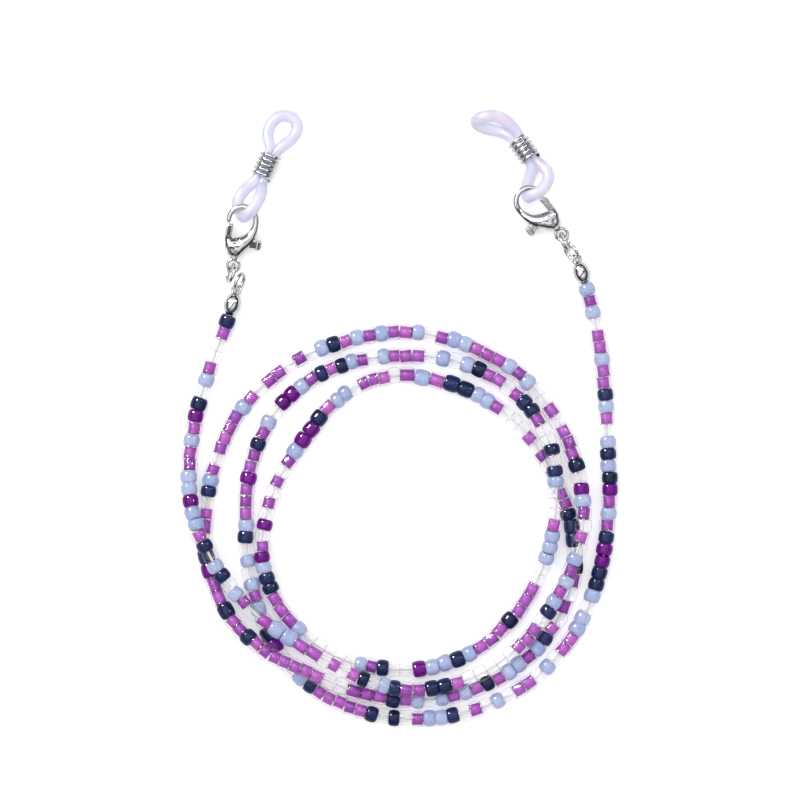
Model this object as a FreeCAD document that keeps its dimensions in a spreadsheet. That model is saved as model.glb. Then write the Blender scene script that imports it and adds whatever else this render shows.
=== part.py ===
import FreeCAD, Part
import math
import os

from FreeCAD import Matrix, Placement, Rotation, Vector

# Beaded eyeglass retainer strap, in millimetres, +Z up, lying on the plane z = 0.
# A strand of seed beads on one beading thread lies in three and a half loose turns. Each end
# leaves the coil as a tail and carries a clamshell bead tip, two jump rings, a lobster clasp
# and a rubber temple loop with a sliding coil adjuster.

DOC = FreeCAD.newDocument("RetainerStrap")

SIZES = {
    "bead_outside": 2.9,
    "bead_hole": 1.0,
    "bead_rounding": 0.7,
    "bead_gap": 0.1,
    "thread_diameter": 0.45,
    "floor_clearance": 0.05,
    "shell_outside": 2.9,
    "shell_length": 4.0,
    "shell_wall": 0.2,
    "shell_mouth": 1.0,
    "shell_loop_radius": 0.75,
    "shell_loop_wire": 0.44,
    "crimp_outside": 1.3,
    "crimp_bore": 0.52,
    "crimp_length": 1.1,
    "ring_mean_radius": 1.5,
    "ring_wire": 0.6,
    "clasp_thickness": 2.6,
    "clasp_bevel": 0.4,
    "eye_outside": 2.6,
    "eye_hole": 1.6,
    "eye_thickness": 0.8,
    "hook_inner_radius": 1.9,
    "hook_outer_radius": 2.8,
    "hook_thickness": 1.2,
    "hook_rounding": 0.38,
    "slot_width": 1.25,
    "lever_thickness": 1.1,
    "gate_thickness": 1.8,
    "tab_thickness": 1.9,
    "lever_rounding": 0.25,
    "pin_diameter": 0.7,
    "pin_hole": 0.72,
    "lever_bore": 0.82,
    "spring_radius": 0.28,
    "spring_wire": 0.18,
    "spring_length": 1.0,
    "rubber_diameter": 1.9,
    "coil_mean_radius": 1.63,
    "coil_wire": 0.6,
    "coil_pitch": 0.86,
    "coil_turns": 5.0,
    "coil_height": 2.0,
}

UP = Vector(0, 0, 1)
BEAD_NAMES = {"N": "navy", "P": "purple", "B": "sky", "L": "lilac_lined", "C": "clear"}

# The coil of the strand: radius from the coil's centre and lift above the floor at every half
# hour of the clock face, anticlockwise from nine o'clock. The first turn lies on the second
# along the bottom, and the third climbs over the second at half past two.
COIL_CENTRE = Vector(-0.5, -17.5, 0)
HALF_HOUR = 15
TURN_RADII = [
    [35.5, 32.75, 30.25, 28.25, 27.25, 28.0, 29.5, 30.0, 30.25, 30.25, 30.25, 31.0,
     32.0, 32.0, 32.25, 32.75, 32.5, 32.5, 32.5, 32.25, 32.75, 33.25, 33.5, 33.5],
    [33.75, 34.25, 34.0, 32.5, 30.5, 30.75, 31.25, 32.0, 32.5, 32.75, 32.5, 31.75,
     29.5, 27.75, 26.75, 26.0, 25.25, 25.0, 25.0, 24.5, 23.25, 21.75, 21.5, 22.25],
    [23.25, 24.75, 25.5, 26.0, 26.25, 26.25, 26.0, 26.25, 26.25, 26.0, 26.0, 26.25,
     26.75, 28.0, 29.5, 29.75, 29.5, 29.0, 28.25, 28.5, 28.75, 28.75, 28.0, 27.25],
    [26.5, 27.25, 28.5, 31.0, 32.75, 33.75, 34.5, 35.25, 36.0, 36.25, 36.25, 36.0,
     36.0],
]
TURN_LIFTS = [
    [3.2, 3.2, 3.2, 3.2, 3.2, 3.2, 2.9, 2.6, 2.4, 2.4, 2.8, 3.2,
     3.2, 1.8, 0.4, 0.0, 0.0, 0.0, 0.0, 0.0, 0.0, 0.0, 0.0, 0.0],
    [0.0, 0.0, 1.6, 3.2, 3.2, 1.2, 0.0, 0.0, 0.0, 0.0, 0.0, 0.0,
     0.0, 0.0, 0.0, 0.0, 0.0, 0.0, 0.0, 0.0, 0.0, 0.0, 0.0, 0.6],
    [1.4, 1.8, 1.2, 0.4, 0.0, 0.0, 0.0, 0.0, 0.0, 0.0, 0.0, 0.9,
     3.0, 3.3, 3.0, 1.4, 0.2, 0.0, 0.0, 0.0, 0.0, 0.0, 0.0, 0.0],
    [0.0, 0.0, 0.0, 0.0, 0.0, 0.0, 0.0, 0.0, 0.0, 0.0, 0.0, 0.0,
     0.0],
]

# The two tails, from each bead tip's middle towards the coil and away from it: x, y, lift.
LEFT_TAIL = [(-29.3, 19.6, 0.0), (-30.4, 15.5, 0.0), (-33.0, 9.4, 0.0), (-35.1, 2.4, 0.0),
             (-36.5, -4.9, 0.0), (-36.9, -11.6, 1.8)]
RIGHT_TAIL = [(35.7, -10.9, 0.0), (35.2, -3.7, 0.0), (34.9, 3.6, 0.0), (34.3, 10.6, 0.0),
              (33.1, 16.6, 0.0), (32.25, 20.95, 0.0), (30.8, 25.0, 0.0)]

# Bead colours in order: the left tail, then each hour of the coil, then the right tail.
LEFT_TAIL_BEADS = "NLCCLBCNPLBLLBBPB"
TURN_BEADS = [
    ["BLNCBNCBL", "CLBBLL", "CLCLNCBN", "LLNNLCC", "CCCLLLCN", "BLBLBCLC",
     "LBPCNLLL", "CLCCBLBL", "LLBBLCBL", "LBLBLNBC", "LCLLCLBL", "LLLCLBNCL"],
    ["LCNPLLN", "LLNLLLLLL", "LCCLLLN", "LBCBLBLN", "LBBLBNLC", "LCLNCNN",
     "NLLCLCLC", "LCCCLBB", "NNLBL", "CLLLCBB", "LNPPB", "LCLCLC"],
    ["PCLPBNN", "LLLBCC", "CCCBLNC", "CPBBNB", "LLLNLL", "LCCBBBL",
     "CCCBNCNC", "CLNNLCLL", "NBCBCLL", "LBCLBNLN", "LBPPCBL", "NLLPLLL"],
    ["BNCBCBL", "BCNPCCB", "NLLLLLNCN", "CLBBNCLCB", "CLLCBCLLB", "BCBNNPPNL"],
]
RIGHT_TAIL_BEADS = "BLPNBNBCLBNLLBLLCBLB"

# Each end of the strap. Points are x, y, z; the route of each rubber loop starts inside the
# adjuster, goes round the temple loop, through the adjuster again, and round the clasp's hook.
CLASP_TILT = 8.4
SHELL_TO_LOOP = 2.45
EYE_HEIGHT = 1.45
EYE_PLAY = 0.1
ENDS = {
    "left": {
        "flipped": False,
        "heading": -8.1,
        "eye": (-29.14, 26.2),
        "ring_swings": (23.0, 17.0),
        "ring_leans": (70.0, -70.0),
        "shell": (-29.3, 19.6),
        "shell_heading": -15.8,
        "shell_roll": -20.0,
        "adjuster": (-23.5, 43.3),
        "adjuster_heading": -25.0,
        "temple_loop": [(-23.4, 48.6, 1.25), (-22.5, 51.2, 1.0), (-20.3, 52.2, 1.0),
                        (-18.2, 51.3, 1.0), (-18.1, 48.7, 1.15)],
        "hook_loop": [(-24.2, 38.7, 3.7), (-25.2, 36.3, 4.7), (-26.98, 34.47, 4.55),
                      (-27.77, 34.67, 0.96), (-28.63, 37.2, 0.96), (-27.4, 39.1, 1.1)],
    },
    "right": {
        "flipped": True,
        "heading": 41.0,
        "eye": (27.42, 31.55),
        "ring_swings": (-37.0, -25.0),
        "ring_leans": (-60.0, 68.0),
        "shell": (30.8, 25.0),
        "shell_heading": 20.0,
        "shell_roll": 20.0,
        "adjuster": (20.95, 46.1),
        "adjuster_heading": 35.8,
        "temple_loop": [(17.0, 49.0, 1.1), (13.9, 49.7, 1.0), (12.3, 50.9, 2.2),
                        (14.1, 52.0, 3.6), (17.2, 52.1, 3.5)],
        "hook_loop": [(25.4, 42.0, 3.4), (24.4, 39.2, 4.4), (21.72, 37.93, 4.4),
                      (21.57, 37.89, 0.96), (21.4, 40.0, 0.96), (22.0, 41.7, 1.3)],
    },
}
LEG_OFFSET = 0.3
LEG_REACH = 3.3

# The clasp in its own frame: the eye's centre at the origin, +Y towards the hook, the gate on
# the -X side and the thumb tab on the +X side, and the middle plane at z = 0.
HOOK_CENTRE = (0.5, 8.0)
HOOK_TIP_ANGLE = 187
SPINE = [(3.3, 8.0), (3.2, 5.2), (2.3, 5.2), (2.4, 8.0)]
CHEEKS = [(-0.6, 1.0), (-2.15, 3.6), (-2.15, 4.75), (-0.3, 4.95), (-0.3, 5.15), (1.0, 5.35),
          (2.0, 6.0), (2.55, 7.0), (3.25, 7.0), (3.15, 4.9), (2.1, 2.6), (0.6, 1.0)]
SLOT = [(-3.0, 2.1), (5.0, 2.1), (5.0, 4.95), (-3.0, 4.95)]
PIVOT = (-0.2, 3.75)
LEVER_PLATE = [(-2.0, 3.9), (-0.9, 3.05), (0.4, 3.05), (1.0, 3.5), (3.6, 3.5), (3.6, 4.55),
               (-0.75, 4.55), (-0.95, 5.0), (-2.0, 5.0)]
GATE = [(-2.1, 4.95), (-0.95, 4.95), (-0.9, 7.2), (-1.75, 7.1), (-2.1, 6.75)]
THUMB_TAB = [(3.4, 3.25), (4.1, 3.25), (4.35, 3.6), (4.35, 4.55), (4.1, 4.9), (3.4, 4.9)]
SPRING_FOOT = (1.1, 2.3)


def make_sheet():
    """The spreadsheet of driving dimensions, one alias a row."""
    sheet = DOC.addObject("Spreadsheet::Sheet", "sizes")
    for row, (alias, value) in enumerate(SIZES.items(), start=1):
        sheet.set(f"A{row}", alias)
        sheet.set(f"B{row}", str(value))
        sheet.setAlias(f"B{row}", alias)
    DOC.recompute()
    return sheet


SHEET = make_sheet()
PIECES = []


def size(alias):
    """A driving dimension's value, in millimetres."""
    return float(SHEET.get(alias))


def keep(piece, label):
    """Name a finished sub-part and list it for export."""
    piece.Label = label
    PIECES.append(piece)
    return piece


def keep_shape(shape, label, placement=None):
    """A sub-part whose shape is worked out in this script."""
    piece = DOC.addObject("Part::Feature", label)
    piece.Shape = shape
    if placement is not None:
        piece.Placement = placement
    return keep(piece, label)


# ---- routes: straight runs joined by tangent arcs --------------------------------------------

def corner(before, point, after):
    """The arc at a route's corner, as large as its two runs allow, and its radius."""
    inward = (before - point).normalize()
    outward = (after - point).normalize()
    turn = math.pi - inward.getAngle(outward)
    reach = 0.45 * min(before.distanceToPoint(point), after.distanceToPoint(point))
    radius = reach / math.tan(turn / 2)
    bisector = (inward + outward).normalize()
    middle = point + bisector * (radius / math.cos(turn / 2) - radius)
    return point + inward * reach, middle, point + outward * reach, radius


def open_route(points):
    """A route's edges, its arcs' radii, and the length along it at each point's arc."""
    edges, radii, stations = [], [], [0.0]
    start, length = points[0], 0.0
    for before, point, after in zip(points, points[1:], points[2:]):
        first, middle, last, radius = corner(before, point, after)
        run = Part.LineSegment(start, first).toShape()
        arc = Part.Arc(first, middle, last).toShape()
        edges += [run, arc]
        radii.append(radius)
        stations.append(length + run.Length + arc.Length / 2)
        length += run.Length + arc.Length
        start = last
    edges.append(Part.LineSegment(start, points[-1]).toShape())
    stations.append(length + edges[-1].Length)
    return edges, radii, stations


def closed_route(points):
    """The edges and radii of a route that ends where it starts."""
    count = len(points)
    corners = [corner(points[i - 1], points[i], points[(i + 1) % count]) for i in range(count)]
    edges = []
    for here, there in zip(corners, corners[1:] + corners[:1]):
        edges.append(Part.Arc(*here[:3]).toShape())
        edges.append(Part.LineSegment(here[2], there[0]).toShape())
    return edges, [c[3] for c in corners]


def tube(edges, diameter):
    """A round tube swept along a route's edges."""
    path = Part.Wire(edges)
    start = path.Edges[0]
    first = start.FirstParameter
    circle = Part.Circle(start.valueAt(first), start.tangentAt(first), diameter / 2).toShape()
    solid = path.makePipeShell([Part.Wire([circle])], True, False)
    section = math.pi * diameter ** 2 / 4
    print(f"tube {diameter} mm: length {path.Length:.1f}, volume over section times length "
          f"{solid.Volume / (section * path.Length):.4f}")
    return solid


def point_on(edges, distance):
    """The point and direction at a distance along a route's edges."""
    for edge in edges:
        if distance <= edge.Length:
            break
        distance -= edge.Length
    at = edge.getParameterByLength(min(distance, edge.Length))
    return edge.valueAt(at), edge.tangentAt(at)


# ---- the beaded strand -----------------------------------------------------------------------

def strand_points():
    """The strand's route: left tail, the coil's turns, right tail."""
    lying = size("bead_outside") / 2 + size("floor_clearance")
    points = [Vector(x, y, lying + lift) for x, y, lift in LEFT_TAIL]
    station = 0
    for radii, lifts in zip(TURN_RADII, TURN_LIFTS):
        for radius, lift in zip(radii, lifts):
            angle = math.radians(180 + HALF_HOUR * station)
            spoke = Vector(radius * math.cos(angle), radius * math.sin(angle), lying + lift)
            points.append(COIL_CENTRE + spoke)
            station += 1
    points += [Vector(x, y, lying + lift) for x, y, lift in RIGHT_TAIL]
    return points


def bead_solid(length):
    """One rounded glass bead with its hole along Z, centred on the origin."""
    outer = size("bead_outside") / 2
    hole = size("bead_hole") / 2
    half = length / 2
    edge = size("bead_rounding")
    slant = edge * math.sqrt(0.5)
    lower = (outer - edge, -half + edge)
    upper = (outer - edge, half - edge)
    profile = Part.Wire([
        Part.LineSegment(Vector(hole, 0, -half), Vector(lower[0], 0, -half)).toShape(),
        Part.Arc(Vector(lower[0], 0, -half), Vector(lower[0] + slant, 0, lower[1] - slant),
                 Vector(outer, 0, lower[1])).toShape(),
        Part.LineSegment(Vector(outer, 0, lower[1]), Vector(outer, 0, upper[1])).toShape(),
        Part.Arc(Vector(outer, 0, upper[1]), Vector(upper[0] + slant, 0, upper[1] + slant),
                 Vector(upper[0], 0, half)).toShape(),
        Part.LineSegment(Vector(upper[0], 0, half), Vector(hole, 0, half)).toShape(),
        Part.LineSegment(Vector(hole, 0, half), Vector(hole, 0, -half)).toShape(),
    ])
    return Part.Face(profile).revolve(Vector(0, 0, 0), UP, 360)


def stretches(stations):
    """Each stretch of beads: its turn's name, its colours, and where it starts and ends."""
    clear = size("shell_length") / 2 + size("bead_gap")
    first = len(LEFT_TAIL)
    found = [("turn_1", LEFT_TAIL_BEADS, clear, stations[first])]
    hour = 0
    for turn, hours in enumerate(TURN_BEADS, start=1):
        for colours in hours:
            low = stations[first + 2 * hour]
            high = stations[first + 2 * hour + 2]
            found.append((f"turn_{turn}", colours, low, high))
            hour += 1
    found.append(("turn_4", RIGHT_TAIL_BEADS, stations[first + 2 * hour], stations[-1] - clear))
    return found


def make_strand():
    """The thread, and the beads on it as one node for each colour and turn."""
    edges, radii, stations = open_route(strand_points())
    print(f"thread arcs: smallest radius {min(radii):.1f}, largest {max(radii):.1f}")
    keep_shape(tube(edges, size("thread_diameter")), "beading_thread")
    groups = {}
    for turn, colours, low, high in stretches(stations):
        pitch = (high - low) / len(colours)
        for place, colour in enumerate(colours):
            middle, along = point_on(edges, low + (place + 0.5) * pitch)
            bead = bead_solid(pitch - size("bead_gap"))
            bead.Placement = Placement(middle, Rotation(UP, along))
            groups.setdefault(f"{BEAD_NAMES[colour]}_beads_{turn}", []).append(bead)
    for label, beads in sorted(groups.items()):
        keep_shape(Part.makeCompound(beads), label)
    print("beads:", sum(len(beads) for beads in groups.values()))


# ---- sketch helpers for the machined pieces --------------------------------------------------

def polygon(points):
    """The closed outline through some points."""
    corners = [Vector(x, y, 0) for x, y in points]
    return [Part.LineSegment(a, b) for a, b in zip(corners, corners[1:] + corners[:1])]


def circle(centre, radius):
    """A circle in the XY plane."""
    return Part.Circle(Vector(centre[0], centre[1], 0), UP, radius)


def sketch_in(body, name, outline):
    """A sketch on the body's own XY plane."""
    sketch = body.newObject("Sketcher::SketchObject", name)
    plane = next(f for f in body.Origin.OriginFeatures if f.Role == "XY_Plane")
    sketch.AttachmentSupport = (plane, [""])
    sketch.MapMode = "FlatFace"
    sketch.addGeometry(outline, False)
    return sketch


def symmetric(body, kind, name, outline, thickness):
    """A pad or pocket, half its thickness each side of the middle plane."""
    sketch = sketch_in(body, f"{name}_sketch", outline)
    feature = body.newObject(f"PartDesign::{kind}", name)
    feature.Profile = sketch
    feature.SideType = "Symmetric"
    feature.setExpression("Length", thickness)
    DOC.recompute()
    return feature


def flat_edges(feature, height):
    """The names of a feature's edges that lie wholly at a height either side of z = 0."""
    names = []
    for number, edge in enumerate(feature.Shape.Edges, start=1):
        box = edge.BoundBox
        if box.ZLength < 1e-6 and abs(abs(box.ZMax) - height) < 1e-6:
            names.append(f"Edge{number}")
    return names


def dress(body, kind, name, feature, edges, property_name, expression):
    """A fillet or chamfer on some of a feature's edges."""
    dressed = body.newObject(f"PartDesign::{kind}", name)
    dressed.Base = (feature, edges)
    dressed.setExpression(property_name, expression)
    DOC.recompute()
    return dressed


# ---- the lobster clasp -----------------------------------------------------------------------

def clasp_placement(end):
    """Where a clasp's own frame lies: turned over if it is flipped, hook end up, and turned."""
    turn = Rotation(UP, end["heading"])
    tilt = Rotation(Vector(1, 0, 0), CLASP_TILT)
    flip = Rotation(Vector(0, 1, 0), 180 if end["flipped"] else 0)
    return Placement(Vector(*end["eye"], EYE_HEIGHT), turn * tilt * flip)


def hook_outline():
    """The hook from its tip round to the spine, as two arcs and straight sides."""
    tip = math.radians(HOOK_TIP_ANGLE)
    inner = size("hook_inner_radius")
    outer = size("hook_outer_radius")
    centre = Vector(*HOOK_CENTRE, 0)
    across = Vector(math.cos(tip), math.sin(tip), 0)
    sides = [Part.LineSegment(Vector(*a, 0), Vector(*b, 0)) for a, b in zip(SPINE, SPINE[1:])]
    return sides + [
        Part.ArcOfCircle(circle(HOOK_CENTRE, inner), 0, tip),
        Part.LineSegment(centre + across * inner, centre + across * outer),
        Part.ArcOfCircle(circle(HOOK_CENTRE, outer), 0, tip),
    ]


def make_clasp_body(side, end):
    """The cast body: hook and spine, two cheeks with a slot between them, and the eye."""
    body = DOC.addObject("PartDesign::Body", f"{side}_clasp_body")
    hook = symmetric(body, "Pad", f"{side}_hook", hook_outline(), "sizes.hook_thickness")
    dress(body, "Fillet", f"{side}_hook_edges", hook,
          flat_edges(hook, size("hook_thickness") / 2), "Radius", "sizes.hook_rounding")
    cheeks = symmetric(body, "Pad", f"{side}_cheeks", polygon(CHEEKS), "sizes.clasp_thickness")
    dress(body, "Chamfer", f"{side}_cheek_bevels", cheeks,
          flat_edges(cheeks, size("clasp_thickness") / 2), "Size", "sizes.clasp_bevel")
    eye = [circle((0, 0), size("eye_outside") / 2), circle((0, 0), size("eye_hole") / 2)]
    symmetric(body, "Pad", f"{side}_eye", eye, "sizes.eye_thickness")
    symmetric(body, "Pocket", f"{side}_slot", polygon(SLOT), "sizes.slot_width")
    hole = [circle(PIVOT, size("pin_hole") / 2)]
    symmetric(body, "Pocket", f"{side}_pin_hole", hole, "sizes.clasp_thickness * 2")
    body.Placement = clasp_placement(end)
    return keep(body, f"{side}_clasp_body")


def make_clasp_lever(side, end):
    """The lever: a plate in the slot, the gate that closes the hook, and the thumb tab."""
    body = DOC.addObject("PartDesign::Body", f"{side}_clasp_lever")
    symmetric(body, "Pad", f"{side}_plate", polygon(LEVER_PLATE), "sizes.lever_thickness")
    gate = symmetric(body, "Pad", f"{side}_gate", polygon(GATE), "sizes.gate_thickness")
    dress(body, "Fillet", f"{side}_gate_edges", gate,
          flat_edges(gate, size("gate_thickness") / 2), "Radius", "sizes.lever_rounding")
    tab = symmetric(body, "Pad", f"{side}_tab", polygon(THUMB_TAB), "sizes.tab_thickness")
    dress(body, "Fillet", f"{side}_tab_edges", tab,
          flat_edges(tab, size("tab_thickness") / 2), "Radius", "sizes.lever_rounding")
    bore = [circle(PIVOT, size("lever_bore") / 2)]
    symmetric(body, "Pocket", f"{side}_lever_bore", bore, "sizes.clasp_thickness * 2")
    body.Placement = clasp_placement(end)
    return keep(body, f"{side}_clasp_lever")


def make_lever_pin(side, end):
    """The pin that the lever turns on, flush with both cheeks."""
    pin = DOC.addObject("Part::Cylinder", f"{side}_lever_pin")
    pin.setExpression("Radius", "sizes.pin_diameter / 2")
    pin.setExpression("Height", "sizes.clasp_thickness")
    foot = Vector(*PIVOT, -size("clasp_thickness") / 2)
    pin.Placement = clasp_placement(end).multiply(Placement(foot, Rotation()))
    return keep(pin, f"{side}_lever_pin")


def helix_coil(radius, wire, pitch, length):
    """A round wire wound along +Z from the origin."""
    path = Part.makeHelix(pitch, length, radius)
    start = path.Edges[0]
    first = start.FirstParameter
    section = Part.Circle(start.valueAt(first), start.tangentAt(first), wire / 2).toShape()
    return Part.Wire(path.Edges).makePipeShell([Part.Wire([section])], True, True)


def make_lever_spring(side, end):
    """The small spring under the lever's tab arm, which shuts the gate."""
    length = size("spring_length")
    spring = helix_coil(size("spring_radius"), size("spring_wire"), length / 4, length)
    stand = Placement(Vector(*SPRING_FOOT, 0), Rotation(UP, Vector(0, 1, 0)))
    return keep_shape(spring, f"{side}_lever_spring", clasp_placement(end).multiply(stand))


# ---- rings, bead tips and crimps -------------------------------------------------------------

def make_rings(side, end):
    """Two jump rings, one hung in the bead tip's loop and the other in the clasp's eye."""
    loop = shell_placement(end).multVec(Vector(0, SHELL_TO_LOOP, 0))
    eye = Vector(*end["eye"], 0)
    radius = size("ring_mean_radius")
    links = (("strand_ring", loop, radius), ("clasp_ring", eye, EYE_PLAY - radius))
    for (name, link, reach), swing, lean in zip(links, end["ring_swings"], end["ring_leans"]):
        angle = math.radians(90 - swing)
        along = Vector(math.cos(angle), math.sin(angle), 0)
        height = radius * math.sin(math.radians(abs(lean)))
        height += size("ring_wire") / 2 + size("floor_clearance")
        centre = Vector(link.x, link.y, height) + along * reach
        ring = DOC.addObject("Part::Torus", f"{side}_{name}")
        ring.setExpression("Radius1", "sizes.ring_mean_radius")
        ring.setExpression("Radius2", "sizes.ring_wire / 2")
        ring.Placement = Placement(centre, Rotation(along, lean))
        keep(ring, f"{side}_{name}")


def shell_placement(end):
    """Where a bead tip's own frame lies: its middle, its loop along +Y, rolled about that."""
    lying = size("bead_outside") / 2 + size("floor_clearance")
    turn = Rotation(UP, end["shell_heading"])
    roll = Rotation(Vector(0, 1, 0), end["shell_roll"])
    return Placement(Vector(*end["shell"], lying), turn * roll)


def shell_outline():
    """Half the bead tip's wall, from its mouth over its crown, beside the axis."""
    outer = size("shell_outside") / 2
    wall = size("shell_wall")
    half = size("shell_length") / 2
    mouth = size("shell_mouth") / 2
    crown = 0.3
    return [
        Part.Arc(Vector(mouth, -half, 0), Vector(outer, -0.1, 0), Vector(crown, half, 0)),
        Part.LineSegment(Vector(crown, half, 0), Vector(0, half, 0)),
        Part.LineSegment(Vector(0, half, 0), Vector(0, half - wall, 0)),
        Part.LineSegment(Vector(0, half - wall, 0), Vector(crown, half - wall, 0)),
        Part.Arc(Vector(crown, half - wall, 0), Vector(outer - wall, -0.1, 0),
                 Vector(mouth, -half + wall, 0)),
        Part.LineSegment(Vector(mouth, -half + wall, 0), Vector(mouth, -half, 0)),
    ]


def make_bead_tip(side, end):
    """The clamshell bead tip: a hollow shell with a seam round it and a loop on its crown."""
    body = DOC.addObject("PartDesign::Body", f"{side}_bead_tip")
    wall = body.newObject("PartDesign::Revolution", f"{side}_shell")
    wall.Profile = sketch_in(body, f"{side}_shell_sketch", shell_outline())
    wall.ReferenceAxis = (wall.Profile[0], ["V_Axis"])
    wall.Angle = 360
    DOC.recompute()
    outer = size("shell_outside") / 2
    deep = size("shell_wall") / 2
    seam = [(outer - deep, 0.05), (outer + deep, 0.05), (outer + deep, 0.2), (outer - deep, 0.2)]
    groove = body.newObject("PartDesign::Groove", f"{side}_seam")
    groove.Profile = sketch_in(body, f"{side}_seam_sketch", polygon(seam))
    groove.ReferenceAxis = (groove.Profile[0], ["V_Axis"])
    groove.Angle = 360
    DOC.recompute()
    loop = body.newObject("PartDesign::AdditiveTorus", f"{side}_shell_loop")
    loop.setExpression("Radius1", "sizes.shell_loop_radius")
    loop.setExpression("Radius2", "sizes.shell_loop_wire / 2")
    loop.AttachmentOffset = Placement(Vector(0, SHELL_TO_LOOP, 0), Rotation())
    loop.Placement = Placement(Vector(0, SHELL_TO_LOOP, 0), Rotation())
    DOC.recompute()
    body.Placement = shell_placement(end)
    return keep(body, f"{side}_bead_tip")


def make_crimp(side, end):
    """The crimp bead that stops the thread inside the bead tip."""
    barrel = DOC.addObject("Part::Cylinder", f"{side}_crimp_barrel")
    barrel.setExpression("Radius", "sizes.crimp_outside / 2")
    barrel.setExpression("Height", "sizes.crimp_length")
    bore = DOC.addObject("Part::Cylinder", f"{side}_crimp_bore")
    bore.setExpression("Radius", "sizes.crimp_bore / 2")
    bore.setExpression("Height", "sizes.crimp_length")
    crimp = DOC.addObject("Part::Cut", f"{side}_crimp_bead")
    crimp.Base = barrel
    crimp.Tool = bore
    back = Placement(Vector(0, -0.35, 0), Rotation(UP, Vector(0, -1, 0)))
    crimp.Placement = shell_placement(end).multiply(back)
    return keep(crimp, f"{side}_crimp_bead")


# ---- rubber temple loop and its adjuster -----------------------------------------------------

def adjuster_frame(end):
    """The adjuster's centre, its direction towards the temple loop, and its right."""
    angle = math.radians(90 + end["adjuster_heading"])
    along = Vector(math.cos(angle), math.sin(angle), 0)
    return Vector(*end["adjuster"], size("coil_height")), along, along.cross(UP)


def make_rubber_loop(side, end):
    """One endless round rubber cord whose two legs run side by side through the adjuster."""
    centre, along, right = adjuster_frame(end)
    left_leg = centre - right * LEG_OFFSET
    right_leg = centre + right * LEG_OFFSET
    temple = [Vector(*p) for p in end["temple_loop"]]
    hook = [Vector(*p) for p in end["hook_loop"]]
    route = [left_leg - along * LEG_REACH, left_leg + along * LEG_REACH] + temple
    route += [right_leg + along * LEG_REACH, right_leg - along * LEG_REACH] + hook
    edges, radii = closed_route(route)
    print(f"{side} rubber loop: smallest radius {min(radii):.2f}")
    edges = edges[-1:] + edges[:-1]
    cuts = [0, 5, 4 + 2 * len(temple), 9 + 2 * len(temple), len(edges)]
    tubes = [tube(edges[a:b], size("rubber_diameter")) for a, b in zip(cuts, cuts[1:])]
    loop = tubes[0].fuse(tubes[1:])
    print(f"{side} rubber loop: volume {loop.Volume:.1f}, of its parts "
          f"{sum(t.Volume for t in tubes):.1f}")
    return keep_shape(loop, f"{side}_rubber_loop")


def make_adjuster(side, end):
    """The wire coil that slides on both legs and sets the temple loop's size."""
    centre, along, _ = adjuster_frame(end)
    length = size("coil_pitch") * size("coil_turns")
    coil = helix_coil(size("coil_mean_radius"), size("coil_wire"), size("coil_pitch"), length)
    place = Placement(centre - along * (length / 2), Rotation(UP, along))
    return keep_shape(coil, f"{side}_adjuster_coil", place)


# ---- checks and export -----------------------------------------------------------------------

def check_document():
    """Stop if any object of the document failed, or any sub-part's shape is bad."""
    DOC.recompute()
    failed = [o.Label for o in DOC.Objects if {"Invalid", "Error"} & set(o.State)]
    bad = [p.Label for p in PIECES if p.Shape.isNull() or not p.Shape.isValid()]
    if failed or bad:
        raise RuntimeError(f"failed objects {failed}, bad shapes {bad}")


def export_pieces():
    """Write each sub-part's solids to a STEP file of its own name."""
    os.makedirs("parts", exist_ok=True)
    for piece in PIECES:
        piece.Shape.exportStep(f"parts/{piece.Label}.step")
    box = PIECES[0].Shape.BoundBox
    for piece in PIECES[1:]:
        box.add(piece.Shape.BoundBox)
    print(f"{len(PIECES)} pieces, x {box.XMin:.2f} to {box.XMax:.2f}, "
          f"y {box.YMin:.2f} to {box.YMax:.2f}, z {box.ZMin:.2f} to {box.ZMax:.2f}")


make_strand()
for SIDE, END in ENDS.items():
    make_bead_tip(SIDE, END)
    make_crimp(SIDE, END)
    make_rings(SIDE, END)
    make_clasp_body(SIDE, END)
    make_clasp_lever(SIDE, END)
    make_lever_pin(SIDE, END)
    make_lever_spring(SIDE, END)
    make_rubber_loop(SIDE, END)
    make_adjuster(SIDE, END)
check_document()
export_pieces()
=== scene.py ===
import math
import random

import bmesh
import bpy
from mathutils import Matrix, Vector, noise


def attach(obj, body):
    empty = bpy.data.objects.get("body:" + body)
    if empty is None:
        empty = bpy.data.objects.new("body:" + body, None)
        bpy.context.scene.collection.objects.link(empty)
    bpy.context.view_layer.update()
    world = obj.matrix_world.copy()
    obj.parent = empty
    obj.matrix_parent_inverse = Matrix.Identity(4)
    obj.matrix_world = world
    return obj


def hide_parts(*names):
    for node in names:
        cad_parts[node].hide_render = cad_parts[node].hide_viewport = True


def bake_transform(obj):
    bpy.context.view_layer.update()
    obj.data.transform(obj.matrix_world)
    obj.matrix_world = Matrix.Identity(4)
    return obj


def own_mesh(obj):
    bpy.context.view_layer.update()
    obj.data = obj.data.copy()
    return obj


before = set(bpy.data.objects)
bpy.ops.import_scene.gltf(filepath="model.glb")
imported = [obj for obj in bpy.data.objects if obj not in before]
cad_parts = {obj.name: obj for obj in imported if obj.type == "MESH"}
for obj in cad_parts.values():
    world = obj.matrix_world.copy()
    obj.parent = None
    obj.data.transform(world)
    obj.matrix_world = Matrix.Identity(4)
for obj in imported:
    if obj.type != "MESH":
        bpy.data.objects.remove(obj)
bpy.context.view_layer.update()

# A beaded eyeglass retainer strap seen from straight above: the strand of glass beads on its
# thread, and on each end a bead tip, two jump rings, a lobster clasp and a rubber temple loop.

MM = 0.001
UP = Vector((0, 0, 1))
random.seed(7)

# ---- the strand's route, as in part.py -------------------------------------------------------

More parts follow.
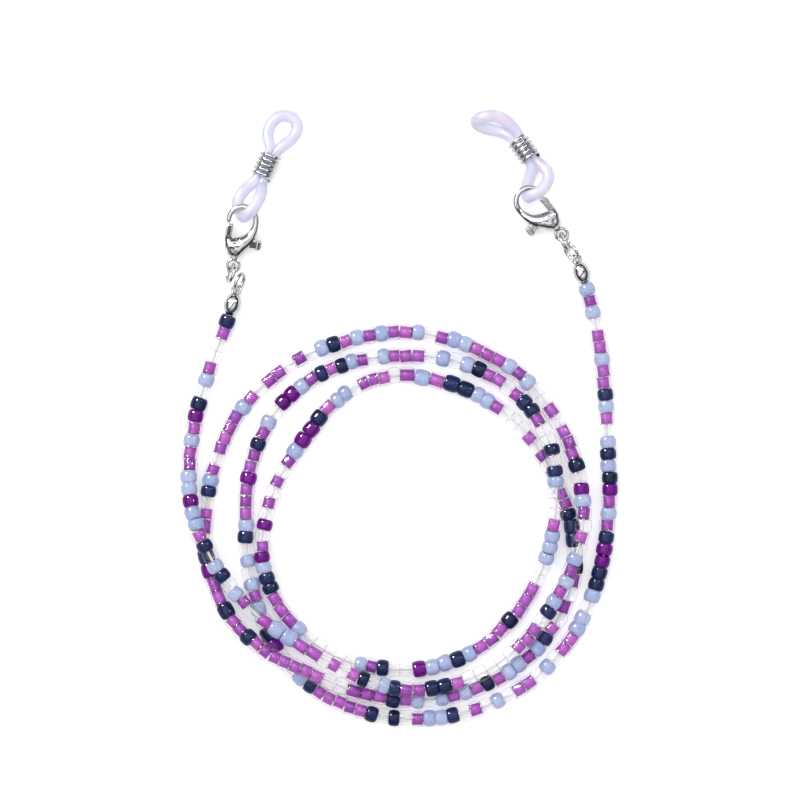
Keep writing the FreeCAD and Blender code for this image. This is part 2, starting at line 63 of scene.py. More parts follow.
# The coil's turns are radii about its centre, in millimetres, every 15 degrees from the left,
# and lifts of the thread above LYING, its height where one strand lies alone.
LYING = 1.5
STATION_ANGLE = 15
COIL_CENTRE = Vector((-0.5, -17.5, 0))
TURN_RADII = [
    [35.5, 32.75, 30.25, 28.25, 27.25, 28.0, 29.5, 30.0, 30.25, 30.25, 30.25, 31.0,
     32.0, 32.0, 32.25, 32.75, 32.5, 32.5, 32.5, 32.25, 32.75, 33.25, 33.5, 33.5],
    [33.75, 34.25, 34.0, 32.5, 30.5, 30.75, 31.25, 32.0, 32.5, 32.75, 32.5, 31.75,
     29.5, 27.75, 26.75, 26.0, 25.25, 25.0, 25.0, 24.5, 23.25, 21.75, 21.5, 22.25],
    [23.25, 24.75, 25.5, 26.0, 26.25, 26.25, 26.0, 26.25, 26.25, 26.0, 26.0, 26.25,
     26.75, 28.0, 29.5, 29.75, 29.5, 29.0, 28.25, 28.5, 28.75, 28.75, 28.0, 27.25],
    [26.5, 27.25, 28.5, 31.0, 32.75, 33.75, 34.5, 35.25, 36.0, 36.25, 36.25, 36.0,
     36.0],
]
TURN_LIFTS = [
    [3.2, 3.2, 3.2, 3.2, 3.2, 3.2, 2.9, 2.6, 2.4, 2.4, 2.8, 3.2,
     3.2, 1.8, 0.4, 0.0, 0.0, 0.0, 0.0, 0.0, 0.0, 0.0, 0.0, 0.0],
    [0.0, 0.0, 1.6, 3.2, 3.2, 1.2, 0.0, 0.0, 0.0, 0.0, 0.0, 0.0,
     0.0, 0.0, 0.0, 0.0, 0.0, 0.0, 0.0, 0.0, 0.0, 0.0, 0.0, 0.6],
    [1.4, 1.8, 1.2, 0.4, 0.0, 0.0, 0.0, 0.0, 0.0, 0.0, 0.0, 0.9,
     3.0, 3.3, 3.0, 1.4, 0.2, 0.0, 0.0, 0.0, 0.0, 0.0, 0.0, 0.0],
    [0.0, 0.0, 0.0, 0.0, 0.0, 0.0, 0.0, 0.0, 0.0, 0.0, 0.0, 0.0,
     0.0],
]
LEFT_TAIL = [(-29.3, 19.6, 0.0), (-30.4, 15.5, 0.0), (-33.0, 9.4, 0.0), (-35.1, 2.4, 0.0),
             (-36.5, -4.9, 0.0), (-36.9, -11.6, 1.8)]
RIGHT_TAIL = [(35.7, -10.9, 0.0), (35.2, -3.7, 0.0), (34.9, 3.6, 0.0), (34.3, 10.6, 0.0),
              (33.1, 16.6, 0.0), (32.25, 20.95, 0.0), (30.8, 25.0, 0.0)]
THREAD_RADIUS = 0.225 * MM


def strand_points():
    """The route's points in metres: left tail, the coil's turns, right tail."""
    points = [Vector((x, y, LYING + lift)) for x, y, lift in LEFT_TAIL]
    station = 0
    for radii, lifts in zip(TURN_RADII, TURN_LIFTS):
        for radius, lift in zip(radii, lifts):
            angle = math.radians(180 + STATION_ANGLE * station)
            spoke = Vector((radius * math.cos(angle), radius * math.sin(angle), LYING + lift))
            points.append(COIL_CENTRE + spoke)
            station += 1
    points += [Vector((x, y, LYING + lift)) for x, y, lift in RIGHT_TAIL]
    return [p * MM for p in points]


# ---- nodes and materials ---------------------------------------------------------------------

def fill_ramp(ramp, stops):
    """Give a colour ramp node its stops: pairs of position and colour."""
    elements = ramp.color_ramp.elements
    while len(elements) < len(stops):
        elements.new(0.5)
    for element, (position, colour) in zip(elements, stops):
        element.position = position
        element.color = (*colour, 1)


def greys(stops, blue=1.0):
    """Stops of position and grey as stops of position and colour."""
    return [(position, (grey, grey, grey * blue)) for position, grey in stops]


class Shader:
    """A material's node tree, with short ways to add and join its nodes."""

    def __init__(self, name):
        self.material = bpy.data.materials.new(name)
        self.material.use_nodes = True
        self.tree = self.material.node_tree
        self.main = self.tree.nodes["Principled BSDF"]

    def node(self, kind, **sockets):
        made = self.tree.nodes.new(f"ShaderNode{kind}")
        for name, value in sockets.items():
            made.inputs[name].default_value = value
        return made

    def join(self, source, target):
        self.tree.links.new(source, target)

    def set(self, **sockets):
        for name, value in sockets.items():
            self.main.inputs[name.replace("_", " ")].default_value = value

    def noise(self, scale, detail=3.0):
        """Fractal noise in the object's own space, with its features 1 / scale metres wide."""
        where = self.node("TexCoord")
        made = self.node("TexNoise", Scale=scale, Detail=detail)
        self.join(where.outputs["Object"], made.inputs["Vector"])
        return made.outputs["Fac"]

    def ramp(self, source, *stops):
        """A colour ramp over a value: pairs of position and colour."""
        made = self.node("ValToRGB")
        fill_ramp(made, stops)
        self.join(source, made.inputs["Fac"])
        return made.outputs["Color"]

    def island_ramp(self, *stops):
        """A colour for each separate solid of a piece, drawn from a ramp."""
        return self.ramp(self.node("NewGeometry").outputs["Random Per Island"], *stops)

    def multiply(self, first, second):
        """The product of two colours."""
        mix = self.node("MixRGB", Fac=1.0)
        mix.blend_type = "MULTIPLY"
        self.join(first, mix.inputs["Color1"])
        self.join(second, mix.inputs["Color2"])
        return mix.outputs["Color"]

    def colour(self, source):
        self.join(source, self.main.inputs["Base Color"])

    def cover(self, factor, under, over):
        """One shader over another, as solid as the factor says."""
        mix = self.node("MixShader")
        self.join(factor, mix.inputs["Fac"])
        self.join(under, mix.inputs[1])
        self.join(over, mix.inputs[2])
        return mix.outputs[0]

    def spread(self, source, low, high):
        """A value's middle range stretched from low to high."""
        made = self.node("MapRange")
        for name, value in (("From Min", 0.3), ("From Max", 0.7), ("To Min", low), ("To Max", high)):
            made.inputs[name].default_value = value
        self.join(source, made.inputs["Value"])
        return made.outputs["Result"]

    def bump(self, source, distance, strength=1.0):
        made = self.node("Bump", Strength=strength, Distance=distance)
        self.join(source, made.inputs["Height"])
        self.join(made.outputs["Normal"], self.main.inputs["Normal"])


def metal(name, low, high, roughness):
    """Polished plating with faint clouding, worn in places, over a slightly uneven casting."""
    s = Shader(name)
    s.set(Metallic=1.0)
    s.colour(s.ramp(s.noise(900), (0.3, low), (0.7, high)))
    s.join(s.spread(s.noise(2600, 6), roughness * 0.6, roughness * 1.7), s.main.inputs["Roughness"])
    s.bump(s.noise(1500, 4), 0.00002, 0.5)
    return s.material


def solid_glass(name, colours, roughness, subsurface=0.0):
    """Opaque glass, each bead its own shade, with faint mottling under a glossy skin."""
    s = Shader(name)
    s.set(Roughness=roughness, IOR=1.5, Specular_IOR_Level=0.18,
          Subsurface_Weight=subsurface, Subsurface_Scale=0.0006)
    mottle = s.ramp(s.noise(1800, 5), (0.35, (0.82, 0.82, 0.84)), (0.65, (1, 1, 1)))
    s.colour(s.multiply(s.island_ramp(*colours), mottle))
    s.bump(s.noise(1300, 3), 0.00003, 0.6)
    return s.material


# How much painted grey rim shade, standing in for the dark edges of refracting glass, covers clear glass,
# and how glossy it looks, from facing the eye (0) to edge-on (1).
RIM_SHADE_COVER = ((0.0, 0.0), (0.48, 0.02), (0.68, 0.17), (0.85, 0.34), (1.0, 0.6))
GLOSSY_RIM = ((0.0, 0.014), (0.7, 0.03), (0.9, 0.10), (1.0, 0.35))


def clear_glass(name, rim_shade):
    """Clear glass: see-through where it faces the eye, with painted grey shade at its rims for the dark
    edges that refraction gives, and glossy.
    """
    s = Shader(name)
    s.set(Roughness=0.06, IOR=1.5)
    s.colour(s.ramp(s.noise(1400), (0.3, rim_shade), (0.7, [c * 1.25 for c in rim_shade])))
    s.bump(s.noise(1100, 2), 0.00004, 0.5)
    through = s.node("BsdfTransparent", Color=(1, 1, 1, 1))
    gloss = s.node("BsdfGlossy", Roughness=0.08)
    facing = s.node("LayerWeight", Blend=0.5).outputs["Facing"]
    # Painted shade: a grey diffuse skin covers the see-through glass towards its rims, for the dark edges
    # that refraction gives.
    body = s.cover(s.ramp(facing, *greys(RIM_SHADE_COVER)), through.outputs[0], s.main.outputs[0])
    skin = s.cover(s.ramp(facing, *greys(GLOSSY_RIM)), body, gloss.outputs[0])
    s.join(skin, s.tree.nodes["Material Output"].inputs["Surface"])
    return s.material


def lining(name, colours):
    """The coloured lining of a bead's hole, brushed on a little unevenly."""
    s = Shader(name)
    s.set(Roughness=0.4, Specular_IOR_Level=0.1)
    streak = s.ramp(s.noise(2400, 5), (0.3, (0.80, 0.74, 0.84)), (0.65, (1, 1, 1)))
    s.colour(s.multiply(s.island_ramp(*colours), streak))
    return s.material


def milky_rubber(name):
    """Soft clear rubber, milky in its depth, with a dusty, slightly uneven skin."""
    s = Shader(name)
    s.set(Transmission_Weight=0.3, Roughness=0.4, IOR=1.4, Specular_IOR_Level=0.3,
          Subsurface_Weight=0.6, Subsurface_Scale=0.0012)
    s.colour(s.ramp(s.noise(500), (0.3, (0.76, 0.75, 0.92)), (0.7, (0.84, 0.83, 0.97))))
    s.bump(s.noise(3000, 5), 0.00002, 0.6)
    return s.material


def twisted_thread(name):
    """A twisted multifilament thread, its colour darker in the grooves of the twist: painted shade, as the
    same waves sink its bump there.
    """
    s = Shader(name)
    s.set(Roughness=0.6, Sheen_Weight=0.3)
    where = s.node("TexCoord")
    wave = s.node("TexWave", Scale=2200, Distortion=1.5)
    s.join(where.outputs["Object"], wave.inputs["Vector"])
    # Painted shade: the waves that sink the twist's grooves also darken its colour there.
    s.colour(s.ramp(wave.outputs["Fac"], (0.2, (0.70, 0.70, 0.73)), (0.8, (0.92, 0.92, 0.94))))
    s.bump(wave.outputs["Fac"], 0.00004)
    return s.material


SILVER = metal("silver plating", (0.43, 0.43, 0.44), (0.50, 0.50, 0.505), 0.07)
STEEL = metal("spring steel", (0.45, 0.45, 0.47), (0.62, 0.62, 0.64), 0.25)
BRASS = metal("brass", (0.62, 0.45, 0.20), (0.80, 0.62, 0.33), 0.2)
RUBBER = milky_rubber("milky rubber")
THREAD = twisted_thread("beading thread")
# The grey is the painted rim shade of clear glass, for its dark refracted edges.
CLEAR = clear_glass("clear glass", (0.40, 0.38, 0.38))
NAVY = solid_glass("navy glass", [(0.0, (0.008, 0.013, 0.055)), (0.5, (0.014, 0.023, 0.090)),
                                  (1.0, (0.020, 0.032, 0.120))], 0.10)
PURPLE = solid_glass("purple glass", [(0.0, (0.12, 0.004, 0.17)), (1.0, (0.20, 0.008, 0.30))], 0.10)
SKY = solid_glass("sky glass", [(0.0, (0.42, 0.49, 0.76)), (0.5, (0.50, 0.57, 0.80)),
                                (1.0, (0.38, 0.46, 0.76))], 0.12, 0.25)
LILAC = lining("lilac lining", [(0.0, (0.30, 0.045, 0.40)), (0.35, (0.44, 0.07, 0.51)),
                                (0.7, (0.58, 0.13, 0.60)), (1.0, (0.36, 0.07, 0.52))])


# ---- small helpers ---------------------------------------------------------------------------

def piece(name, mesh, material, body):
    """A new object that rides on a body."""
    made = bpy.data.objects.new(name, mesh)
    bpy.context.scene.collection.objects.link(made)
    made.data.materials.append(material)
    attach(made, body)
    return made


def dress(name, material):
    """Give a CAD node a material."""
    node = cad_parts[name]
    node.data.materials.clear()
    node.data.materials.append(material)


def curve_piece(name, points, radius, radii=None, resolution=8):
    """A smooth open tube that its control points guide, as thick at each one as its radii say."""
    data = bpy.data.curves.new(name, "CURVE")
    data.dimensions = "3D"
    data.resolution_u = resolution
    data.bevel_depth = radius
    data.bevel_resolution = 6
    data.use_fill_caps = True
    spline = data.splines.new("NURBS")
    spline.points.add(len(points) - 1)
    for number, (point, place) in enumerate(zip(spline.points, points)):
        point.co = (*place, 1)
        point.radius = radii[number] if radii else 1.0
    spline.order_u = 3
    spline.use_endpoint_u = True
    made = bpy.data.objects.new(name, data)
    bpy.context.scene.collection.objects.link(made)
    return made


def as_mesh(curve, name):
    """A mesh of a curve's tube, in the curve's place."""
    mesh = shade_smooth(bpy.data.meshes.new_from_object(curve))
    mesh.materials.clear()
    bpy.data.objects.remove(curve)
    made = bpy.data.objects.new(name, mesh)
    bpy.context.scene.collection.objects.link(made)
    return made


def apply_modifiers(made):
    """Give an object the mesh that its modifiers make."""
    graph = bpy.context.evaluated_depsgraph_get()
    made.data = bpy.data.meshes.new_from_object(made.evaluated_get(graph))
    made.modifiers.clear()


def curve_line(curve):
    """The points along the middle of a curve's tube."""
    bevel = curve.data.bevel_depth
    curve.data.bevel_depth = 0
    mesh = bpy.data.meshes.new_from_object(curve)
    curve.data.bevel_depth = bevel
    points = [v.co.copy() for v in mesh.vertices]
    bpy.data.meshes.remove(mesh)
    return points


def shade_smooth(mesh):
    """The mesh itself, with all its faces shaded smooth."""
    mesh.polygons.foreach_set("use_smooth", [True] * len(mesh.polygons))
    return mesh


# ---- the beads -------------------------------------------------------------------------------

# The frame's meshes repeat a vertex on each side of a sharp edge. Closer than this, two are one.
WELD = 1e-6


def islands(mesh):
    """The separate solids of a mesh, as lists of their vertices' places."""
    first_at = {}
    parent = [first_at.setdefault(tuple(round(c / WELD) for c in vertex.co), vertex.index)
              for vertex in mesh.vertices]

    def root(i):
        while parent[i] != i:
            parent[i] = parent[parent[i]]
            i = parent[i]
        return i

    for edge in mesh.edges:
        a, b = (root(v) for v in edge.vertices)
        parent[a] = b
    groups = {}
    for vertex in mesh.vertices:
        groups.setdefault(root(vertex.index), []).append(vertex.co.copy())
    return list(groups.values())


def beads_of(node, line):
    """Each bead's middle on the strand's line, its direction, and its length."""
    found = []
    for places in islands(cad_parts[node].data):
        low = Vector([min(p[i] for p in places) for i in range(3)])
        high = Vector([max(p[i] for p in places) for i in range(3)])
        middle = (low + high) / 2
        nearest = min(range(1, len(line) - 1), key=lambda i: (line[i] - middle).length_squared)
        along = (line[nearest + 1] - line[nearest - 1]).normalized()
        on_line = line[nearest] + along * (middle - line[nearest]).dot(along)
        reach = max((p - middle).dot(along) for p in places)
        found.append((on_line, along, 2 * reach))
    return found


BEAD_RADIUS = 1.45 * MM
# Each kind's share of that radius, its hole's radius in millimetres, and how square its section is.
SHAPES = {"navy": (1.0, 0.45, 2.5), "purple": (1.0, 0.45, 2.5), "sky": (1.0, 0.45, 2.1),
          "clear": (0.99, 0.62, 2.8), "lilac": (1.0, 1.02, 2.8)}
SKINS = {"navy": NAVY, "purple": PURPLE, "sky": SKY, "clear": CLEAR, "lilac": CLEAR}
BEAD_SIDES = 28
SECTION_POINTS = 22

# How uneven the beads are: out of round, tilted, off the thread's line, and in radius and length.
WOBBLE = 0.03
WOBBLE_ALONG = 300
TILT = 0.10
SLACK = 0.13
RADIUS_SPREAD = (0.94, 1.02)
LENGTH_SPREAD = (0.98, 1.06)
EXTRA_LENGTH = 0.06 * MM
FLOOR_CLEARANCE = 1.05

# The lilac beads' lining: its room in the hole, how much shorter than the bead it is, and its wall.
LINING_ROOM = 0.02
LINING_INSET = 0.26 * MM
LINING_WALL = 0.12 * MM
LINING_SIDES = 24


def ring_of(bm, matrix, radius, height, sides, seed):
    """One ring of vertices round a bead's axis, slightly out of round."""
    made = []
    for k in range(sides):
        angle = 2 * math.pi * k / sides
        out = radius * (1 + WOBBLE * noise.noise(Vector((math.cos(angle), math.sin(angle), seed))))
        made.append(bm.verts.new(matrix @ Vector((out * math.cos(angle), out * math.sin(angle), height))))
    return made


def add_lathe(bm, matrix, outline, sides, seed):
    """Turn a closed outline about the matrix's Z axis."""
    rings = [ring_of(bm, matrix, r, h, sides, seed + h * WOBBLE_ALONG) for r, h in outline]
    for lower, upper in zip(rings, rings[1:] + rings[:1]):
        for k in range(sides):
            n = (k + 1) % sides
            bm.faces.new((lower[k], lower[n], upper[n], upper[k]))


def bead_profile(radius, hole, length, squareness):
    """A bead's outline as pairs of radius and height: a ring's section, from round to square."""
    middle, reach, half = (radius + hole) / 2, (radius - hole) / 2, length / 2
    power = 2 / squareness
    outline = []
    for step in range(SECTION_POINTS):
        turn = 2 * math.pi * step / SECTION_POINTS
        across, up = math.cos(turn), math.sin(turn)
        outline.append((middle + math.copysign(abs(across) ** power, across) * reach,
                        math.copysign(abs(up) ** power, up) * half))
    return outline


def lining_profile(hole, length):
    """A thin tube's outline just inside a bead's hole, a little shorter than the bead."""
    outer = (hole - LINING_ROOM) * MM
    inner = outer - LINING_WALL
    half = (length - LINING_INSET) / 2
    return [(outer, -half), (outer, half), (inner, half), (inner, -half)]


def lay_bead(place, along, length, scale):
    """An uneven bead's matrix, radius, length and seed, near its place on the thread."""
    seed = random.uniform(0, 50)
    tilt = Vector([random.uniform(-TILT, TILT) for _ in range(3)])
    radius = BEAD_RADIUS * scale * random.uniform(*RADIUS_SPREAD)
    slack = along.cross(UP) * random.uniform(-SLACK, SLACK) * MM
    place.z = max(place.z, FLOOR_CLEARANCE * radius)
    facing = (along + tilt).to_track_quat("Z", "Y").to_matrix().to_4x4()
    full = length * random.uniform(*LENGTH_SPREAD) + EXTRA_LENGTH
    return Matrix.Translation(place + slack) @ facing, radius, full, seed


def lathe_piece(name, solids, sides, material):
    """One piece of many turned solids, each with its matrix, its outline and its seed."""
    bm = bmesh.new()
    for matrix, outline, seed in solids:
        add_lathe(bm, matrix, outline, sides, seed)
    bmesh.ops.recalc_face_normals(bm, faces=bm.faces[:])
    mesh = bpy.data.meshes.new(name)
    bm.to_mesh(mesh)
    bm.free()
    made = piece(name, shade_smooth(mesh), material, "strand")
    return made


def make_beads(line):
    """Rebuild each CAD node of beads with irregular glass beads along the thread."""
    for node in sorted(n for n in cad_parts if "_beads_" in n):
        kind = node.split("_")[0]
        scale, hole, squareness = SHAPES[kind]
        laid = [lay_bead(*bead, scale) for bead in beads_of(node, line)]
        beads = [(matrix, bead_profile(radius, hole * MM, length, squareness), seed)
                 for matrix, radius, length, seed in laid]
        glass = lathe_piece(f"{node}_glass", beads, BEAD_SIDES, SKINS[kind])
        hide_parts(node)
        if kind == "lilac":
            linings = [(matrix, lining_profile(hole, length), seed) for matrix, _, length, seed in laid]
            lathe_piece(f"{node}_lining", linings, LINING_SIDES, LILAC)


# ---- the rubber temple loops -----------------------------------------------------------------

RUBBER_RADIUS = 1.04 * MM
# Each adjuster's middle, in millimetres, and its heading in degrees.
ADJUSTERS = {"left": ((-23.5, 43.3, 2.0), -25.0), "right": ((20.95, 46.1, 2.0), 35.8)}
TEMPLE_LOOPS = {
    "left": [(-23.4, 48.6, 1.25), (-22.5, 51.2, 1.06), (-20.3, 52.2, 1.06), (-18.2, 51.3, 1.06),
             (-18.1, 48.7, 1.15)],
    "right": [(17.05, 49.25, 1.1), (13.9, 49.8, 1.06), (12.3, 50.9, 2.2), (14.1, 51.95, 3.5),
              (17.2, 51.8, 3.4)],
}
HOOK_LOOPS = {
    "left": [(-24.2, 38.7, 3.7), (-25.2, 36.3, 4.7), (-26.98, 34.47, 4.55), (-27.77, 34.67, 1.06),
             (-28.63, 37.2, 1.06), (-27.4, 39.1, 1.1)],
    "right": [(25.4, 42.0, 3.4), (24.4, 39.2, 4.4), (21.72, 37.93, 4.4), (21.57, 37.89, 1.06),
              (21.4, 40.0, 1.06), (22.0, 41.7, 1.3)],
}


# Each leg inside the adjuster: pairs of sideways and along, in millimetres, and how it is squeezed.
LEG_ROUTE = ((0.6, 0.0), (0.6, 1.7), (0.62, 2.6), (0.75, 3.4))
LEG_SQUEEZE = [0.66, 0.66, 0.72, 0.95]


def make_rubber(side):
    """The rubber loop in two pieces that meet inside the adjuster."""
    place, heading = ADJUSTERS[side]
    centre = Vector(place)
    angle = math.radians(90 + heading)
    along = Vector((math.cos(angle), math.sin(angle), 0))
    right = along.cross(UP)
    halves = (("temple_end", TEMPLE_LOOPS[side], 1, -1), ("hook_end", HOOK_LOOPS[side], -1, 1))
    for name, loop, way, first in halves:
        legs = []
        for leg in (first, -first):
            legs.append([centre + right * leg * aside + along * way * reach for aside, reach in LEG_ROUTE])
        points = [p * MM for p in legs[0] + [Vector(p) for p in loop] + legs[1][::-1]]
        radii = LEG_SQUEEZE + [1.0] * len(loop) + LEG_SQUEEZE[::-1]
        curve = curve_piece(f"{side}_rubber_{name}_curve", points, RUBBER_RADIUS, radii, 14)
        made = as_mesh(curve, f"{side}_rubber_{name}")
        made.data.materials.append(RUBBER)
        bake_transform(made)
        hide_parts(f"{side}_rubber_loop")


# ---- the clasp bodies ------------------------------------------------------------------------

# A clasp's own frame has the eye at its origin and the hook towards +Y. Each chain gives the
# casting's middle line, x and y, with its half width there, in millimetres.
# CLASPS holds each eye's place, the clasp's heading in degrees, and whether it lies face down.
CLASPS = {"left": ((-29.14, 26.2), -8.1, False), "right": ((27.42, 31.55), 41.0, True)}
EYE_HEIGHT = 1.45
CLASP_TILT = 8.4
GATE_SHOULDER = [(0.0, 1.55, 0.62), (-0.5, 2.55, 1.1), (-0.9, 3.5, 1.22), (-1.15, 3.9, 1.0)]
BELLY = [(0.0, 1.55, 0.62), (0.1, 2.5, 1.2), (0.6, 3.6, 1.5), (1.5, 4.35, 1.25), (2.25, 5.2, 0.95),
         (2.7, 6.4, 0.7), (2.85, 7.4, 0.55)]
HOOK_CENTRE = Vector((0.5, 8.0))
HOOK_RADIUS = 2.35
HOOK_TIP_ANGLE = 187
HOOK_ROD = 0.52
HOOK_TAPER = 0.07
EYE_RADIUS = 1.05
EYE_ROD = 0.27
HALF_THICKNESS = 1.36
ARC_STEPS = 24
VOXEL = 0.07 * MM
SMOOTHING_ROUNDS = 10
SHARP_ANGLE = 50
SLOT_LOW = Vector((-3.0, 2.1, -0.625))
SLOT_HIGH = Vector((5.0, 4.95, 0.625))


def clasp_frame(side):
    """A clasp's own frame, in millimetres, placed in the model's metres."""
    (x, y), heading, flipped = CLASPS[side]
    place = Matrix.Translation(Vector((x, y, EYE_HEIGHT)) * MM)
    turn = Matrix.Rotation(math.radians(heading), 4, "Z")
    tilt = Matrix.Rotation(math.radians(CLASP_TILT), 4, "X")
    flip = Matrix.Rotation(math.pi if flipped else 0, 4, "Y")
    return place @ (turn @ tilt) @ flip @ Matrix.Scale(MM, 4)


def arc(centre, radius, turn, rod, taper=0.0):
    """A round stretch of a chain, from its +X side, through an angle in degrees."""
    chain = []
    for step in range(ARC_STEPS + 1):
        angle = math.radians(turn) * step / ARC_STEPS
        chain.append((centre.x + radius * math.cos(angle), centre.y + radius * math.sin(angle),
                      rod - taper * step / ARC_STEPS))
    return chain


def add_chain(bm, own, chain, steps=7):
    """Overlapping balls along a chain, the large ones flattened to the casting's thickness."""
    for (x0, y0, r0), (x1, y1, r1) in zip(chain, chain[1:]):
        for step in range(steps):
            part = step / (steps - 1)
            radius = r0 + (r1 - r0) * part
            ball = Matrix.Translation((x0 + (x1 - x0) * part, y0 + (y1 - y0) * part, 0))
            size = Matrix.Diagonal((radius, radius, min(radius, HALF_THICKNESS), 1))
            bmesh.ops.create_icosphere(bm, subdivisions=3, radius=1, matrix=own @ ball @ size)


def slot_cutter(own):
    """The lever's slot between the cheeks, as a box."""
    bm = bmesh.new()
    middle = Matrix.Translation((SLOT_LOW + SLOT_HIGH) / 2)
    size = Matrix.Diagonal((*(SLOT_HIGH - SLOT_LOW), 1))
    bmesh.ops.create_cube(bm, size=1, matrix=own @ middle @ size)
    mesh = bpy.data.meshes.new("slot")
    bm.to_mesh(mesh)
    bm.free()
    cutter = bpy.data.objects.new("slot", mesh)
    bpy.context.scene.collection.objects.link(cutter)
    return cutter


def make_clasp(side):
    """The cast clasp body: eye, full belly, gate shoulder and tapering hook, melted into one."""
    own = clasp_frame(side)
    bm = bmesh.new()
    add_chain(bm, own, GATE_SHOULDER)
    add_chain(bm, own, BELLY)
    add_chain(bm, own, [GATE_SHOULDER[2], BELLY[2]])
    hook = arc(HOOK_CENTRE, HOOK_RADIUS, HOOK_TIP_ANGLE, HOOK_ROD, HOOK_TAPER)
    add_chain(bm, own, BELLY[-1:] + hook, 4)
    add_chain(bm, own, arc(Vector((0, 0)), EYE_RADIUS, 360, EYE_ROD), 4)
    mesh = bpy.data.meshes.new(f"{side}_clasp_casting")
    bm.to_mesh(mesh)
    bm.free()
    made = piece(f"{side}_clasp_casting", mesh, SILVER, f"{side}_clasp")
    remesh = made.modifiers.new("melt", "REMESH")
    remesh.mode = "VOXEL"
    remesh.voxel_size = VOXEL
    soften = made.modifiers.new("soften", "SMOOTH")
    soften.factor = 0.5
    soften.iterations = SMOOTHING_ROUNDS
    cutter = slot_cutter(own)
    cut = made.modifiers.new("slot", "BOOLEAN")
    cut.object = cutter
    cut.operation = "DIFFERENCE"
    apply_modifiers(made)
    bpy.data.objects.remove(cutter)
    made.data.materials.clear()
    made.data.materials.append(SILVER)
    shade_smooth(made.data)
    made.data.set_sharp_from_angle(angle=math.radians(SHARP_ANGLE))
    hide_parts(f"{side}_clasp_body")


def make_spring(side):
    """The lever's spring, a copy of the CAD node's shape, in spring steel."""
    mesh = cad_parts[f"{side}_lever_spring"].data.copy()
    mesh.materials.clear()
    made = piece(f"{side}_return_spring", mesh, STEEL, f"{side}_clasp")
    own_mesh(made)
    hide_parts(f"{side}_lever_spring")


# ---- camera, lights and floor ----------------------------------------------------------------

CAMERA_HEIGHT = 1.2
VIEW_CENTRE = (-0.43, 3.02)
VIEW_WIDTH = 0.1379
SENSOR_WIDTH = 36
FLOOR_HALF = 1.5

# The room's grey by height, from the horizon (0) to overhead (1): a glow at the horizon, a dark band
# above it, a grey shoulder, and the light overhead.
ROOM_BY_HEIGHT = ((0.0, 0.45), (0.05, 0.40), (0.10, 0.02), (0.42, 0.03), (0.55, 0.30), (0.72, 0.42),
                  (0.84, 1.0))
ROOM_BLUE = 1.01
ROOM_STRENGTH = 2.7
# A dark strip beside the overhead light gives polished metal its black lines. Its greys run along
# this direction.
STRIP_ALONG = (0.64, -0.77, 0.0)
STRIP = ((0.0, 1.0), (0.06, 1.0), (0.12, 0.06), (0.24, 0.06), (0.34, 0.7), (1.0, 0.55))

# Each lamp's name, place, size and power. They show only as reflections.
LAMPS = (("glint", (-0.29, 0.29, 0.30), 0.13, 11.0), ("second_glint", (0.33, 0.20, 0.35), 0.06, 0.8))


def make_camera(scene):
    """A long lens that looks straight down."""
    camera = bpy.data.objects.new("camera", bpy.data.cameras.new("camera"))
    camera.location = (VIEW_CENTRE[0] * MM, VIEW_CENTRE[1] * MM, CAMERA_HEIGHT)
    camera.data.sensor_width = SENSOR_WIDTH
    camera.data.lens = SENSOR_WIDTH * CAMERA_HEIGHT / VIEW_WIDTH
    camera.data.clip_start = 0.05
    scene.collection.objects.link(camera)
    scene.camera = camera


def make_floor(scene):
    """A matt white card that shines a little, so that it stays near white."""
    mesh = bpy.data.meshes.new("floor")
    half = FLOOR_HALF
    corners = [(-half, -half, 0), (half, -half, 0), (half, half, 0), (-half, half, 0)]
    mesh.from_pydata(corners, [], [(0, 1, 2, 3)])
    floor = bpy.data.objects.new("floor", mesh)
    scene.collection.objects.link(floor)
    s = Shader("white card")
    s.set(Roughness=0.9, Specular_IOR_Level=0.0, Emission_Color=(1, 1, 1, 1), Emission_Strength=0.28)
    s.colour(s.ramp(s.noise(60), *greys(((0.3, 0.90), (0.7, 0.93)))))
    floor.data.materials.append(s.material)


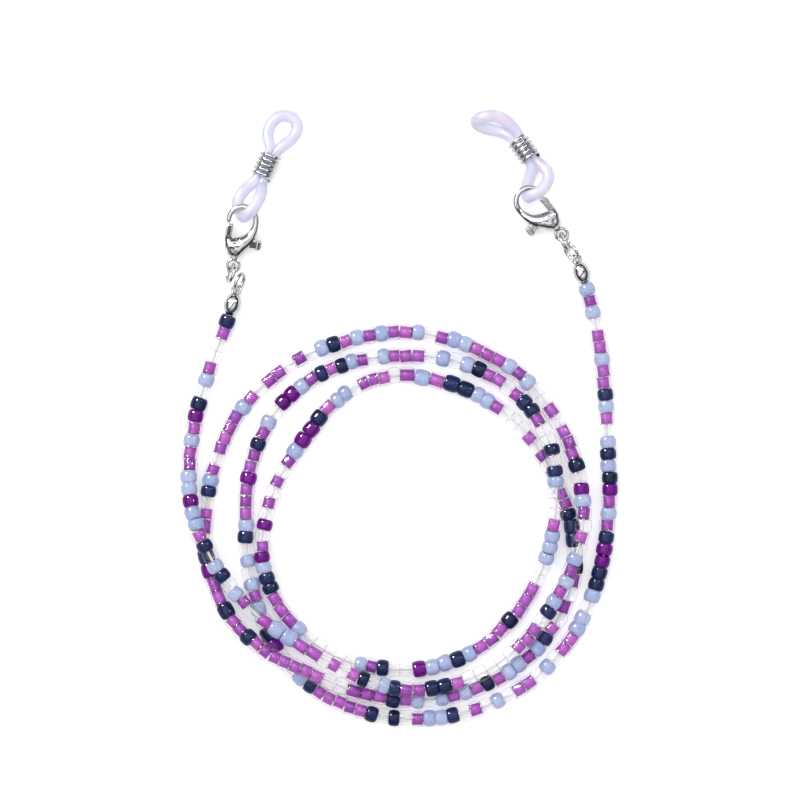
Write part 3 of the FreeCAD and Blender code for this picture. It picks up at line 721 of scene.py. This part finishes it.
def make_room(scene):
    """The soft studio light, as a world of greys."""
    world = bpy.data.worlds.new("studio")
    scene.world = world
    world.use_nodes = True
    tree = world.node_tree
    where = tree.nodes.new("ShaderNodeTexCoord")
    split = tree.nodes.new("ShaderNodeSeparateXYZ")
    by_height = tree.nodes.new("ShaderNodeValToRGB")
    fill_ramp(by_height, greys(ROOM_BY_HEIGHT, ROOM_BLUE))
    lean = tree.nodes.new("ShaderNodeVectorMath")
    lean.operation = "DOT_PRODUCT"
    lean.inputs[1].default_value = STRIP_ALONG
    strip = tree.nodes.new("ShaderNodeValToRGB")
    fill_ramp(strip, greys(STRIP))
    both = tree.nodes.new("ShaderNodeMixRGB")
    both.blend_type = "MULTIPLY"
    both.inputs["Fac"].default_value = 1.0
    tree.links.new(where.outputs["Generated"], split.inputs[0])
    tree.links.new(split.outputs["Z"], by_height.inputs["Fac"])
    tree.links.new(where.outputs["Generated"], lean.inputs[0])
    tree.links.new(lean.outputs["Value"], strip.inputs["Fac"])
    tree.links.new(by_height.outputs["Color"], both.inputs["Color1"])
    tree.links.new(strip.outputs["Color"], both.inputs["Color2"])
    tree.links.new(both.outputs["Color"], tree.nodes["Background"].inputs["Color"])
    tree.nodes["Background"].inputs["Strength"].default_value = ROOM_STRENGTH


def make_lamps(scene):
    """The lamps behind the bright points on glass and metal."""
    for name, place, size, power in LAMPS:
        light = bpy.data.lights.new(name, "AREA")
        light.size = size
        light.energy = power
        lamp = bpy.data.objects.new(name, light)
        lamp.location = place
        lamp.visible_diffuse = False
        lamp.rotation_euler = (-Vector(place)).to_track_quat("-Z", "Y").to_euler()
        scene.collection.objects.link(lamp)


def make_stage():
    """The camera, the floor and the light, with room for light to pass many beads."""
    scene = bpy.context.scene
    scene.view_settings.view_transform = "Standard"
    scene.cycles.transparent_max_bounces = 32
    make_camera(scene)
    make_floor(scene)
    make_room(scene)
    make_lamps(scene)


# ---- build -----------------------------------------------------------------------------------

make_stage()

route = curve_piece("beading_route", strand_points(), THREAD_RADIUS)
line = curve_line(route)
thread = as_mesh(route, "beading_cord")
thread.data.materials.append(THREAD)
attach(thread, "strand")
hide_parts("beading_thread")
make_beads(line)
for side in ("left", "right"):
    make_rubber(side)
    make_clasp(side)
    make_spring(side)
    for name in ("clasp_lever", "lever_pin", "clasp_ring", "strand_ring", "adjuster_coil", "bead_tip"):
        dress(f"{side}_{name}", SILVER)
    dress(f"{side}_crimp_bead", BRASS)
